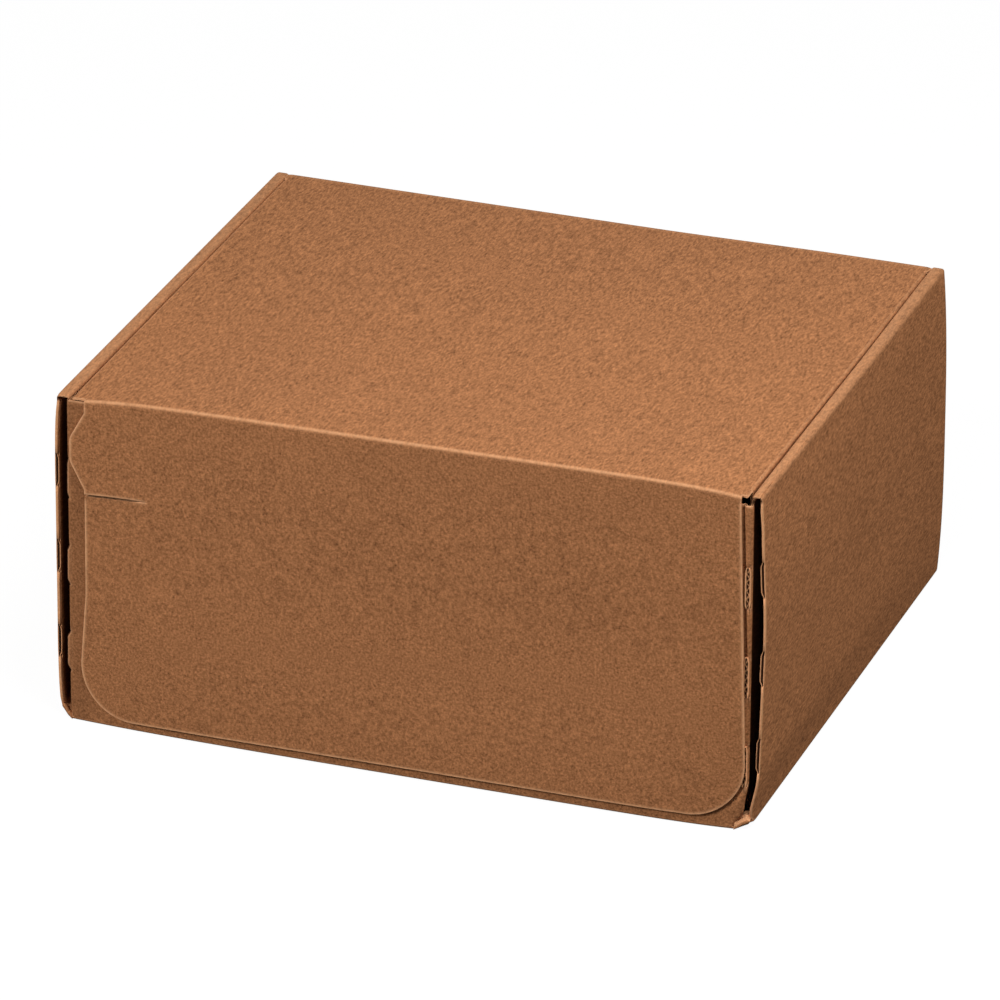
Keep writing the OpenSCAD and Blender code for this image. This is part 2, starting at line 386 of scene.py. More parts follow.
def fade(distance, width):
    """Bell curve: 1 at no distance, falling off over a width."""
    return np.exp(-(distance / width) ** 2)


def crown(share, power):
    """Arch: 1 at a share of 0, and 0 at 1 and -1, flatter in the middle with a higher power."""
    return 1 - np.clip(np.abs(share), 0, 1) ** power


def arc(centre, start, end, radius=MID_R, steps=ARC_STEPS):
    """Points on an arc in a plane, from one angle in degrees to another."""
    angles = np.radians(np.linspace(start, end, steps + 1))
    return np.stack([centre[0] + radius * np.cos(angles), centre[1] + radius * np.sin(angles)], axis=1)


def spaced(low, high, step=STEP, near=NEAR_EDGE):
    """Places from low to high, one row for each pair of them: close near both ends, even between."""
    low, high = np.broadcast_arrays(np.atleast_1d(low), np.atleast_1d(high))
    near = np.array(near)
    room = high - low - 2 * near[-1]
    count = max(2, math.ceil(room.max() / step))
    shares = np.linspace(0, 1, count + 1)[1:-1]
    middle = (low + near[-1])[:, None] + room[:, None] * shares
    return np.concatenate([low[:, None] + near, middle, high[:, None] - near[::-1]], axis=1)


def cut_spans(cuts):
    """Lowest and highest point of each of a fold's cuts."""
    drop, long, pitch = cuts
    return [(TOP - drop - n * pitch - long, TOP - drop - n * pitch) for n in range(CUT_COUNT)]


def in_cut(z, cuts):
    """True within one of a fold's cuts."""
    inside = [(bottom - TINY <= z) & (z <= top + TINY) for bottom, top in cut_spans(cuts)]
    return np.any(inside, axis=0)


def cut_depth(z, cuts):
    """How far a height is within a fold's cut: 0 at its ends and outside, 1 from a short way in."""
    inside = [np.minimum(z - bottom, top - z) for bottom, top in cut_spans(cuts)]
    return ease(np.max(inside, axis=0) / CUT_TAPER)


def heights(low, high, step, fine, *folds):
    """Heights from high down to low, with rows at the ends of the folds' cuts and finer rows in them."""
    marks = {low, *(high - near for near in NEAR_EDGE)}
    for bottom, top in (span for cuts in folds for span in cut_spans(cuts)):
        marks.update((bottom - CUT_EASE, bottom, top, top + CUT_EASE))
    marks = sorted(mark for mark in marks if low <= mark <= high)
    places = [high]
    for above, below in zip(marks[:0:-1], marks[-2::-1]):
        size = fine if any(in_cut((above + below) / 2, cuts) for cuts in folds) else step
        count = math.ceil((above - below) / size - TINY)
        places.extend(np.linspace(above, below, count + 1)[1:])
    return np.array(places)


def lattice(x, y, z):
    """Grid of points, rows by columns by 3."""
    return np.stack(np.broadcast_arrays(x, y, z), axis=-1).astype(float)


def mirrored(grid, side):
    """The grid as it is for the right side, or turned over to the left."""
    return grid * np.array((side, 1, 1))


def settled(points):
    """Points moved as the box has settled: its corners out of square, its front foot bellied out, and its
    top lifted towards the back right."""
    x, y, z = np.moveaxis(points, -1, 0)
    low = np.array((-HALF_W, FRONT_Y, 0))
    share = (points - low) / (np.array((HALF_W, BACK_Y, TOP)) - low)
    moved = points.copy()
    near_foot = ease(1 - z / BELLY_REACH) * ease(1 - (y - FRONT_Y) / BELLY_REACH)
    power = np.where(x > 0, BELLY_POWER_RIGHT, BELLY_POWER_LEFT)
    moved[..., 1] -= BELLY * crown(x / HALF_W, power) * near_foot
    to_back_right = ramp(x, LIFT_FROM, LIFT_RUN_X) * ramp(y, LIFT_FROM, LIFT_RUN_Y)
    moved[..., 2] += LIFT * to_back_right * ramp(z, TOP - LIFT_DEEP, LIFT_RUN_Z)
    for corner, shift in CORNER_SHIFT.items():
        weight = np.prod(np.where(np.array(corner, bool), share, 1 - share), axis=-1)
        moved += weight[..., None] * np.array(shift) * MM
    return moved


def bowed(points):
    """Points of the lid and flap lifted along the front fold, where the fold bows up between its ends."""
    across = (2 * points[..., 0] - FLAP_LEFT - FLAP_RIGHT) / (FLAP_RIGHT - FLAP_LEFT)
    away = np.hypot(points[..., 1] - FLAP_Y, points[..., 2] - AXIS_Z)
    lifted = points.copy()
    lifted[..., 2] += FOLD_BOW * crown(across, FOLD_BOW_POWER) * ease(1 - away / FOLD_BOW_REACH)
    return lifted


def slimmed(points):
    """Points of the lid drawn in from its sides, more at the front, so that its seams close to the back."""
    share = np.clip((points[..., 1] - LID_FRONT) / (SEAM_LONG * (HINGE_Y - LID_FRONT)), 0, 1)
    seam = SEAM_FRONT + share * (SEAM_BACK - SEAM_FRONT)
    x = points[..., 0]
    moved = points.copy()
    moved[..., 0] -= np.sign(x) * seam * ramp(np.abs(x), LID_HALF - SEAM_IN, SEAM_RUN)
    return moved


def laid(points):
    """Points of the lid as it lies on the settled box."""
    return settled(slimmed(bowed(points)))


def hung(points):
    """Points of the flap as it hangs on the settled box: its foot rises to the right, and it stands
    a little off the wall, apart from its right foot corner."""
    below = np.clip(1 - points[..., 2] / AXIS_Z, 0, 1)
    across = (points[..., 0] - FLAP_LEFT) / (FLAP_RIGHT - FLAP_LEFT)
    rise = FLAP_FOOT_RISE * across
    rise += FLAP_FOOT_CROWN * (1 - (2 * across - 1) ** 2)
    rise += FLAP_FOOT_LEFT * (1 - across) ** 2
    tucked = ramp(across, FLAP_TUCK_ACROSS, FLAP_TUCK_ACROSS_RUN)
    tucked *= ramp(below, FLAP_TUCK_BELOW, FLAP_TUCK_BELOW_RUN)
    moved = points.copy()
    moved[..., 2] += rise * below
    moved[..., 1] += FLAP_TUCK * tucked - FLAP_STAND * ease(below / FLAP_STAND_RUN)
    return settled(bowed(moved))


def surface_normals(grid):
    """Unit normals of a grid, by its rows crossed with its columns."""
    normals = np.cross(np.gradient(grid, axis=0), np.gradient(grid, axis=1))
    return normals / np.maximum(np.linalg.norm(normals, axis=-1, keepdims=True), NO_LENGTH)


# Each side of a cell: the step to the cell beyond it, then the first and second corner of its edge
CELL_SIDES = {
    "left": ((0, -1), (0, 0), (1, 0)),
    "bottom": ((1, 0), (1, 0), (1, 1)),
    "right": ((0, 1), (1, 1), (0, 1)),
    "top": ((-1, 0), (0, 1), (0, 0)),
}

# Sides of a patch that is cut at both ends of its rows
BOTH_ENDS = {"left": True, "right": True}


def border_edges(keep):
    """Side, first corner and second corner of each edge at which the kept cells end."""
    rows, columns = keep.shape
    padded = np.pad(keep, 1)
    edges = []
    for side, (step, first, second) in CELL_SIDES.items():
        beyond = padded[1 + step[0]:1 + step[0] + rows, 1 + step[1]:1 + step[1] + columns]
        for row, column in np.argwhere(keep & ~beyond).tolist():
            edges.append((side, (row + first[0], column + first[1]), (row + second[0], column + second[1])))
    return edges


def is_cut(edge, shape, cut):
    """True for an edge of a hole, and for an outer edge on a side, or on part of a side, that is cut."""
    side, first, second = edge
    along = 0 if side in ("left", "right") else 1
    outer_place = {"left": 0, "top": 0, "right": shape[1] - 1, "bottom": shape[0] - 1}[side]
    if first[1 - along] != outer_place:
        return True
    named = cut.get(side, False)
    if isinstance(named, bool):
        return named
    return bool(named[first[along]] and named[second[along]])


def distance_to(grid, edges):
    """Distance of each grid point to the nearest of the edges, or a metre if there are none."""
    if not edges:
        return np.ones(grid.shape[:2])
    samples = []
    for _, first, second in edges:
        start, end = grid[first], grid[second]
        count = max(2, math.ceil(np.linalg.norm(end - start) / EDGE_STEP))
        samples.extend(start + (end - start) * share for share in np.linspace(0, 1, count))
    tree = KDTree(len(samples))
    for index, sample in enumerate(samples):
        tree.insert(sample, index)
    tree.balance()
    found = [tree.find(point)[2] for point in grid.reshape(-1, 3)]
    return np.array(found).reshape(grid.shape[:2])


def outward_at(grid, edges, normals):
    """Unit directions out of a patch, in its plane, at its border points."""
    outward = np.zeros_like(grid)
    for _, first, second in edges:
        push = np.cross(grid[second] - grid[first], normals[first])
        push /= max(np.linalg.norm(push), NO_LENGTH)
        outward[first] += push
        outward[second] += push
    return outward / np.maximum(np.linalg.norm(outward, axis=-1, keepdims=True), NO_LENGTH)


def cut_marks(shape, cut_edges, flutes):
    """Two grids with ones at the border points that are cut: across the flutes, and along them."""
    across = np.zeros(shape)
    along = np.zeros(shape)
    for side, first, second in cut_edges:
        crosses = (side in ("left", "right")) == (flutes == "rows")
        target = across if crosses else along
        target[first] = 1
        target[second] = 1
    return across, along


def row_lengths(grid):
    """Length from the first row to each point, down its column."""
    steps = np.linalg.norm(np.diff(grid, axis=0), axis=-1)
    return np.concatenate([np.zeros((1, grid.shape[1])), np.cumsum(steps, axis=0)])


def column_lengths(grid):
    """Length from the first column to each point, along its row."""
    return row_lengths(grid.transpose(1, 0, 2)).T


def core_void(level, run):
    """How open the core is at one level of a cut across the flutes: 0 on the wavy layer, 1 in the gaps."""
    if abs(level) > CORE_HALF:
        return np.zeros_like(run)
    wave = CORE_HALF * np.sin(2 * math.pi * run / FLUTE_PITCH)
    return np.clip((np.abs(level - wave) - LAYER_HALF) / LAYER_HALF, 0, 1)


class Board:
    """Patches of board, thickened from their mid-surfaces and collected into one piece."""

    def __init__(self):
        self.points = []
        self.faces = []
        self.rims = []
        self.wear = []
        self.painted_shade = []
        self.sharp = []
        self.count = 0

    def keep_points(self, points, wear, painted_shade):
        """Adds points and returns the index of the first."""
        first = self.count
        self.points.append(points.reshape(-1, 3))
        self.wear.append(np.broadcast_to(wear, points.shape[:-1]).reshape(-1))
        self.painted_shade.append(np.broadcast_to(painted_shade, points.shape[:-1]).reshape(-1))
        self.count += self.points[-1].shape[0]
        return first

    def keep_faces(self, faces, rim, flip):
        """Adds four-sided faces, turned over if flip is true."""
        faces = np.asarray(faces).reshape(-1, 4)
        self.faces.append(faces[:, ::-1] if flip else faces)
        self.rims.append(np.full(len(faces), rim))

    def add(self, grid, cut=None, keep=None, wear=0.0, thin=1.0, flutes="rows", nose=None, deep=(0, 0),
            press=PRESS, rim_wide=RIM_WIDE, rim_wear=RIM_WEAR, closed=False, flip=False):
        """Adds a patch. cut names its cut sides, and flutes says whether the flutes run along its rows
        or its columns. nose says, along its left side, how far that is a rounded fold, not a cut. Its
        painted face shade says how far painted shade darkens its two faces inside a narrow groove.
        press says how far its cut edges are thinned, rim_wide and rim_wear how wide and how pale
        they are, and closed closes their core."""
        shape = grid.shape[:2]
        if keep is None:
            keep = np.ones((shape[0] - 1, shape[1] - 1), bool)
        plain_normals = surface_normals(grid)
        normals = -plain_normals if flip else plain_normals
        edges = border_edges(keep)
        cut_edges = [edge for edge in edges if is_cut(edge, shape, cut or {})]
        distance = distance_to(grid, cut_edges)
        half = BOARD / 2 * thin * (1 - press * fade(distance, PRESS_WIDE))
        at_rim = fade(distance, rim_wide)
        offset = normals * half[..., None]
        outer = self.keep_points(grid + offset, np.maximum(wear, rim_wear * at_rim), deep[0])
        inner = self.keep_points(grid - offset, RIM_WEAR_INSIDE * at_rim, deep[1])
        number = np.arange(shape[0] * shape[1]).reshape(shape)
        corners = [number[:-1, :-1], number[1:, :-1], number[1:, 1:], number[:-1, 1:]]
        quads = np.stack(corners, axis=-1)[keep]
        self.keep_faces(quads + outer, False, flip)
        self.keep_faces(quads[:, ::-1] + inner, False, flip)
        open_edges = [] if closed else cut_edges
        starts = (number + outer, number + inner)
        self.add_rim(grid, edges, open_edges, plain_normals, offset, starts, flutes, nose, flip)

    def add_rim(self, grid, edges, cut_edges, normals, offset, starts, flutes, nose, flip):
        """Closes a patch's borders, with the core showing in those that are cut, and painted shade in its
        hollows.
        """
        rows, columns = np.array(sorted({edge[n] for edge in edges for n in (1, 2)})).T
        place = {pair: n for n, pair in enumerate(zip(rows.tolist(), columns.tolist()))}
        pushes = outward_at(grid, edges, normals)[rows, columns]
        across, along = (marks[rows, columns] for marks in cut_marks(grid.shape[:2], cut_edges, flutes))
        run = (row_lengths if flutes == "rows" else column_lengths)(grid)[rows, columns]
        rounded = np.zeros(grid.shape[:2])
        if nose is not None:
            rounded[:, 0] = nose
        share = rounded[rows, columns]
        rings = [starts[0][rows, columns]]
        for level in RIM_RINGS:
            cut_away = across * core_void(level, run) * FLUTE_DEEP
            cut_away = np.maximum(cut_away, along * (abs(level) < CORE_HALF) * CORE_DEEP)
            bulge = share * BOARD / 2 * (1 - level ** ROUND_POWER) ** (1 / ROUND_POWER)
            reach = bulge - (1 - share) * cut_away
            points = grid[rows, columns] + offset[rows, columns] * level + pushes * reach[:, None]
            # Painted shade: the core's cut-away hollows darkened where they open
            painted_shade = (1 - share) * np.minimum(cut_away / CORE_DEEP, 1)
            rings.append(self.keep_points(points, CUT_WEAR, painted_shade) + np.arange(len(rows)))
        rings.append(starts[1][rows, columns])
        faces = []
        soft_edges = set(cut_edges)
        for edge in edges:
            a, b = place[edge[1]], place[edge[2]]
            faces.extend((over[b], over[a], under[a], under[b]) for over, under in zip(rings, rings[1:]))
            if edge not in soft_edges:
                self.sharp.extend([(rings[0][a], rings[0][b]), (rings[-1][a], rings[-1][b])])
        self.keep_faces(faces, True, flip)

    def build(self, name):
        """Makes the piece's object, with its liner and edge materials."""
        used, faces = np.unique(np.concatenate(self.faces), return_inverse=True)
        mesh = bpy.data.meshes.new(name)
        mesh.from_pydata(np.concatenate(self.points)[used].tolist(), [], faces.reshape(-1, 4).tolist())
        # Attributes: wear with painted light on the facets' shelves, and painted shade in grooves, at the
        # wall's left end and in the core
        for attribute_name, values in (("wear", self.wear), ("painted_shade", self.painted_shade)):
            layer = mesh.attributes.new(attribute_name, "FLOAT", "POINT")
            layer.data.foreach_set("value", np.concatenate(values)[used].astype(np.float32))
        mesh.materials.append(LINER)
        mesh.materials.append(EDGE)
        mesh.polygons.foreach_set("material_index", np.concatenate(self.rims).astype(np.int32))
        mesh.polygons.foreach_set("use_smooth", np.ones(len(mesh.polygons), bool))
        mark_sharp(mesh, np.searchsorted(used, np.array(self.sharp, int).reshape(-1, 2)))
        piece = bpy.data.objects.new(name, mesh)
        bpy.context.scene.collection.objects.link(piece)
        return piece


def mark_sharp(mesh, pairs):
    """Marks the edges between these pairs of vertices as sharp, where one patch meets the next."""
    ends = np.empty(2 * len(mesh.edges), np.int32)
    mesh.edges.foreach_get("vertices", ends)
    size = len(mesh.vertices)
    keys, wanted = (np.sort(each.reshape(-1, 2).astype(np.int64)) @ (size, 1) for each in (ends, pairs))
    layer = mesh.attributes.new("sharp_edge", "BOOLEAN", "EDGE")
    layer.data.foreach_set("value", np.isin(keys, wanted))


def bulge_at(side, y, z):
    """How far an outer side wall bows out at a place. Its front end bows more than its back end."""
    from_middle = 2 * z / TOP - 1
    if side > 0:
        front = BULGE_RIGHT_FRONT * ramp(z, BULGE_RIGHT_FOOT, BULGE_RIGHT_FOOT_RUN)
        front = front * ease((BULGE_RIGHT_TOP - z) / BULGE_RIGHT_TOP_RUN)
        front = front - NOSE_TUCK * ramp(z, TOP - NOSE_TUCK_DROP, NOSE_TUCK_RUN)
        back = BULGE_ALL + BULGE_RIGHT_BACK * crown(from_middle, BULGE_RIGHT_BACK_POWER)
    else:
        front = BULGE_ALL + BULGE_LEFT_FRONT * crown(from_middle, BULGE_LEFT_FRONT_POWER)
        back = BULGE_ALL + BULGE_LEFT_BACK * crown(from_middle, BULGE_LEFT_BACK_POWER)
    share = np.clip((y - NOSE_Y) / (BACK_Y - NOSE_Y), 0, 1)
    return front + share * (back - front)


def wall_face(side, z):
    """Outer face of a fold at the front wall's end, from the box's middle, running inwards at the facet."""
    foot = HALF_W - FACET_X[side]
    if side > 0:
        slide = WALL_RIGHT_SLIDE * ease((WALL_SLIDE_TOP - z) / WALL_SLIDE_RUN)
        face = WALL_RIGHT + WALL_RIGHT_LEAN * (TOP - z) - slide
    else:
        face = np.full_like(z, -WALL_LEFT)
    return foot + ramp(z, FACET_FOOT, FACET_TOP) * (face - foot)


def wall_top(x):
    """Front wall's top edge, which meets the lid at the left end and stands lower at the right."""
    return WEB_TOP - WALL_TOP_DROP + WALL_TOP_RISE * ramp(-x, WALL_TOP_RISE_FROM, WALL_TOP_RISE_RUN)


def web_end(z):
    """Where the webs end at a height, along their slanting crease."""
    return FRONT_Y + np.clip(z, WEB_LEAST, WEB_REACH)


def add_base(board):
    """Base panel with the slots for the side walls' tabs, trimmed at the facets."""
    slot_ends = [place + end * (TAB_LONG / 2 + SLOT_CLEAR) for place in TAB_PLACES for end in (-1, 1)]
    y = np.union1d(spaced(FRONT_Y + FOLD_R, BACK_Y - FOLD_R)[0], slot_ends)
    facet_line = HALF_W - FACET_X[1] * (1 - (y - FRONT_Y) / FACET_Y)
    edge = np.minimum(HALF_W - FOLD_R, facet_line)
    inner_face = HALF_W - STRIP_W
    slot_in = HALF_W - FOLD_R - (inner_face - SLOT_CLEAR)
    slot_out = HALF_W - FOLD_R - (inner_face + BOARD + SLOT_CLEAR)
    x = spaced(-edge, edge, near=(0, NEAR_BASE_EDGE, slot_out, slot_in, slot_in + SLOT_PAST))
    keep = np.ones((len(y) - 1, x.shape[1] - 1), bool)
    for place in TAB_PLACES:
        in_slot = np.abs((y[1:] + y[:-1]) / 2 - place) < TAB_LONG / 2
        keep[in_slot, SLOT_COLUMN] = False
        keep[in_slot, -1 - SLOT_COLUMN] = False
    board.add(settled(lattice(x, y[:, None], BOARD / 2)), keep=keep)


def add_base_folds(board):
    """Folds from the base up to the front and back walls."""
    turn = arc((FRONT_Y + FOLD_R, FOLD_R), 180, 270)
    share = np.linspace(0, 1, FOLD_COLUMNS + 1)
    left, right = -wall_face(-1, turn[:, 1])[:, None], wall_face(1, turn[:, 1])[:, None]
    front_fold = lattice(left + share * (right - left), turn[:, :1], turn[:, 1:])
    board.add(settled(front_fold), wear=BASE_FOLD_WEAR)
    turn = arc((BACK_Y - FOLD_R, FOLD_R), -90, 0)
    x = np.linspace(-1, 1, FOLD_COLUMNS + 1) * (HALF_W - PLY)
    board.add(settled(lattice(x, turn[:, :1], turn[:, 1:])), wear=BASE_FOLD_WEAR)


def opened_fold(z, side, face, fold_x, fold_y):
    """Plan of one of the front wall's folds where a cut opens it, as if on the right. On the right the wall
    ends short of the fold, and on the left it runs straight past it."""
    count = np.arange(ARC_STEPS + 1)
    on_wall = count <= HALF_ARC
    if side > 0:
        wall_x = face - 2 * CUT_HALF - CUT_SET_IN - CUT_GAP + CUT_LEAN * (count - HALF_ARC)
        opened_x, opened_y = np.where(on_wall, wall_x, fold_x), fold_y
    else:
        out = WALL_CUT_OUT_FOOT + (WALL_CUT_OUT_TOP - WALL_CUT_OUT_FOOT) * z[:, None] / TOP
        reach = FOLD_R / 2 + (out + FOLD_R / 2) * cut_depth(z, WALL_CUTS[side])[:, None]
        wall_x = face - FOLD_R + reach * count / HALF_ARC
        opened_x = np.where(on_wall, wall_x, face - CUT_HALF - CUT_SET_IN)
        web_share = (count - HALF_ARC - 1) / (ARC_STEPS - HALF_ARC - 1)
        opened_y = FRONT_Y + FOLD_R + web_share * WEB_START
    return opened_x, np.where(on_wall, FRONT_MID, opened_y)


def front_half_plan(z, side):
    """Plan of one of the front wall's folds and its web at each height, as if on the right."""
    face = wall_face(side, z)[:, None]
    turn = arc((0, 0), -90, 0)
    fold_x = face - FOLD_R + turn[:, 0]
    fold_y = np.broadcast_to(FRONT_Y + FOLD_R + turn[:, 1], fold_x.shape)
    opened_x, opened_y = opened_fold(z, side, face, fold_x, fold_y)
    opened = in_cut(z, WALL_CUTS[side])[:, None]
    fold_x = np.where(opened, opened_x, fold_x)
    fold_y = np.where(opened, opened_y, fold_y)
    lead_x = fold_x[:, :1] - NEAR_FOLD
    fold_x = np.concatenate([lead_x, fold_x], axis=1)
    fold_y = np.concatenate([np.full_like(lead_x, FRONT_MID), fold_y], axis=1)
    if side > 0:
        fold_y = fold_y - ridge(fold_x, z[:, None])
    shares = np.linspace(0, 1, WEB_COLUMNS + 1)[1:] ** 2
    start = FRONT_Y + FOLD_R + WEB_START
    web_y = start + shares * (web_end(z)[:, None] - start)
    back = web_y - FRONT_Y - FOLD_R
    dip = WEB_DIP * ease(back / WEB_DIP_RUN) * (1 - ramp(back, WEB_DIP_BACK, WEB_DIP_BACK_RUN))
    web_x = face - BOARD / 2 - dip + (HALF_W - FRONT_INSET - face) * ease(back / WEB_SPREAD)
    return np.concatenate([fold_x, web_x], axis=1), np.concatenate([fold_y, web_y], axis=1)


def ridge_height(z):
    """Full height of the ridge beside the flap, which starts above the foot."""
    return RIDGE * ramp(z, RIDGE_FOOT, RIDGE_FOOT_RUN)


def ridge(x, z):
    """How far the front wall's right fold swells out beside the flap, past the crease at its edge."""
    past = x - flap_edges(z[:, 0])[1][:, None] - RIDGE_GAP
    crease = CREASE * fade(past, CREASE_WIDE) * ramp(z, CREASE_FOOT, CREASE_FOOT_RUN)
    return ridge_height(z) * ease(past / RIDGE_RISE) - crease


def add_front_wall(board):
    """Front wall with the first half of each web, and the cuts in the folds between them."""
    z = heights(FOLD_R, WEB_TOP, WALL_STEP, CUT_STEP, WALL_CUTS[1], WALL_CUTS[-1])
    right_x, right_y = front_half_plan(z, 1)
    left_x, left_y = front_half_plan(z, -1)
    share = np.linspace(0, 1, WALL_COLUMNS + 1)[1:-1]
    middle = -left_x[:, :1] + share * (right_x[:, :1] + left_x[:, :1])
    x = np.concatenate([-left_x[:, ::-1], middle, right_x], axis=1)
    y = np.concatenate([left_y[:, ::-1], np.full_like(middle, FRONT_MID), right_y], axis=1)
    raised = (wall_top(x) - WEB_TOP) * ramp(z[:, None], WEB_TOP - WALL_TOP_REACH, WALL_TOP_REACH)
    keep = np.ones((x.shape[0] - 1, x.shape[1] - 1), bool)
    between = (z[1:] + z[:-1]) / 2
    keep[in_cut(between, WALL_CUTS[-1]), WEB_COLUMNS + HALF_ARC - 1] = False
    first = keep.shape[1] - WEB_COLUMNS - HALF_ARC
    keep[in_cut(between, WALL_CUTS[1]), first:first + HALF_ARC] = False
    # Painted shade: the wall's face darkened inside the grooves behind its folds
    dark = GROOVE_PAINTED_SHADE * ramp(y, FRONT_Y + FOLD_R, GROOVE_EASE)
    # Painted shade: the wall's face darkened towards its left end, beside the flap
    dark = np.maximum(dark, WALL_PAINTED_SHADE * ramp(-x, WALL_PAINTED_SHADE_FROM, WALL_PAINTED_SHADE_RUN))
    grid = lattice(x, y, z[:, None] + raised)
    board.add(settled(grid), cut={"top": True}, keep=keep, deep=(dark, 0))


def add_cut_ends(board):
    """Web's cut edges, splayed by the cutting, which show in the cuts of the front wall's right fold."""
    for bottom, top in cut_spans(WALL_CUTS[1]):
        z = np.linspace(top, bottom, math.ceil((top - bottom) / FINE_STEP))[:, None]
        x = wall_face(1, z) - CUT_HALF - CUT_SET_IN
        y = FRONT_Y + CUT_END_OUT - ridge_height(z) + CUT_END_DEPTHS
        splay = CUT_FLARE_LEAST + (1 - CUT_FLARE_LEAST) * cut_depth(z, WALL_CUTS[1]) ** 0.5
        board.add(settled(lattice(x, y, z)), cut={"left": True}, thin=CUT_FLARE * splay, press=0)


def add_facets(board):
    """Small folded facets at the front base corners. From a diagonal fold, which runs from the front wall's
    foot up to the side wall's nose, a shelf runs back into the groove and a sliver down to the base."""
    over = np.linspace(0, 1, FACET_COLUMNS + 1)[None, :, None]
    taper = FACET_THIN + (1 - FACET_THIN) * ease(np.minimum(over, 1 - over) / FACET_TAPER)
    back_share = np.linspace(1, 0, SHELF_BACK_ROWS + 1)[:-1, None, None]
    shelf_share = np.linspace(1, 0, SHELF_ROWS + 1)[:, None, None]
    sliver_share = np.linspace(0, 1, SLIVER_ROWS + 1)[1:, None, None]
    from_fold = np.concatenate([1 + back_share[:, 0], shelf_share[:, 0], -sliver_share[:, 0]])
    fold_wear = FACET_FOLD_WEAR * fade(from_fold, FACET_FOLD_WEAR_WIDE)
    for side in (1, -1):
        front = np.array((HALF_W - FACET_X[side], FRONT_Y, 0))
        nose = np.array((HALF_W + bulge_at(side, NOSE_Y, FACET_TOP), NOSE_Y, FACET_TOP))
        foot = np.array((HALF_W - FACET_FOOT_IN, FRONT_Y + FACET_Y, 0))
        fold = front + over * (nose + FOLD_END[side] - front)
        shelf_start = front + SHELF_FRONT[side]
        inner = shelf_start + over * (nose + SHELF_SIDE[side] - shelf_start)
        inner = inner + 4 * over * (1 - over) * SHELF_ARCH[side]
        base = front + over * (foot - front)
        plate = np.concatenate([
            inner + back_share * SHELF_BACK,
            fold + shelf_share * (inner - fold),
            fold + sliver_share * (base - fold),
        ])
        plate = plate - surface_normals(plate) * taper * BOARD / 2
        plate[..., 2] = np.maximum(plate[..., 2], taper[..., 0] * BOARD / 2)
        # The shelves are paler by painted light; the fold's paleness is wear
        paleness = np.maximum(fold_wear, SHELF_PAINTED_LIGHT[side] * (from_fold > 0))
        board.add(settled(mirrored(plate, side)), wear=paleness, thin=taper[..., 0], flip=side < 0)


def side_section(side):
    """Section of an outer side wall from the base's fold up and over its roll-over strip, as x and z."""
    foot = arc((HALF_W - FOLD_R, FOLD_R), -90, 0)
    z = heights(FOLD_R, TOP - FOLD_R, SIDE_STEP, SIDE_CUT_STEP, NOSE_CUTS[side])[::-1]
    wall = np.stack([np.full_like(z, HALF_W - BOARD / 2), z], axis=1)
    roll = arc((HALF_W - FOLD_R, TOP - FOLD_R), 0, 90)
    strip_x = np.linspace(HALF_W - FOLD_R, HALF_W - STRIP_W + FOLD_R, STRIP_ROWS + 1)
    strip = np.stack([strip_x, np.full_like(strip_x, TOP - BOARD / 2)], axis=1)
    turn_in = arc((HALF_W - STRIP_W + FOLD_R, TOP - FOLD_R), 90, 180)
    return np.concatenate([foot[:-1], wall, roll[1:], strip[1:], turn_in[1:]])


def add_outer_wall(board, side):
    """One outer side wall with its rolled-over top strip, rounded or cut at the nose."""
    section = side_section(side)
    cuts = NOSE_CUTS[side]
    x, z = section[:, :1], section[:, 1:]
    facet_back = (FRONT_Y + FACET_Y - NOSE_Y) * np.clip(1 - z[:, 0] / FACET_TOP, 0, 1)
    on_strip = ramp(z, TOP - STRIP_DEEP, STRIP_RUN)
    y = spaced(NOSE_Y + facet_back - STRIP_OUT * on_strip[:, 0], BACK_Y)
    from_nose = y - y[:, :1]
    cut_rows = in_cut(z, cuts)
    plain_swell = 0 if side > 0 else NOSE_SWELL_LEFT
    swell = np.where(cut_rows, NOSE_SWELL_CUT * cut_depth(z, cuts) ** 0.5, plain_swell)
    upright = ramp(z, NOSE_FOOT, NOSE_FOOT_RUN) * (z < TOP - STRIP_DEEP)
    swell = swell * upright * fade(from_nose, NOSE_SWELL_WIDE)
    swell_in = swell * BOARD / 2 * np.where(cut_rows, NOSE_SWELL_IN, 1)
    bowed_x = x + bulge_at(side, y, z) * (x > HALF_W - FOLD_R) - swell_in
    nose = np.where(cut_rows | (z > TOP - NOSE_TOP), 0.0, 1.0)[:, 0]
    pressed = STRIP_PRESS * on_strip * fade(from_nose, STRIP_PRESS_WIDE)
    paleness = ROLL_WEAR * fade(z - TOP, ROLL_WEAR_WIDE)
    board.add(
        settled(mirrored(lattice(bowed_x, y, z), side)), cut=BOTH_ENDS, wear=paleness, thin=1 + swell - pressed,
        flutes="columns", nose=nose, flip=side > 0,
    )


def add_inner_wall(board, side):
    """One inner side wall, with its tabs in the base's slots."""
    x = HALF_W - STRIP_W + BOARD / 2
    z = np.linspace(TOP - FOLD_R, PLY, INNER_ROWS + 1)[:, None]
    inner = lattice(x, spaced(INNER_FRONT, INNER_BACK), z)
    cut = {**BOTH_ENDS, "bottom": True}
    board.add(settled(mirrored(inner, side)), cut=cut, flutes="columns", flip=side > 0)
    for place in TAB_PLACES:
        tab_y = spaced(place - TAB_LONG / 2, place + TAB_LONG / 2)
        tab = lattice(x, tab_y, np.linspace(PLY, TAB_FOOT, TAB_ROWS + 1)[:, None])
        board.add(settled(mirrored(tab, side)), cut=BOTH_ENDS, flip=side > 0)


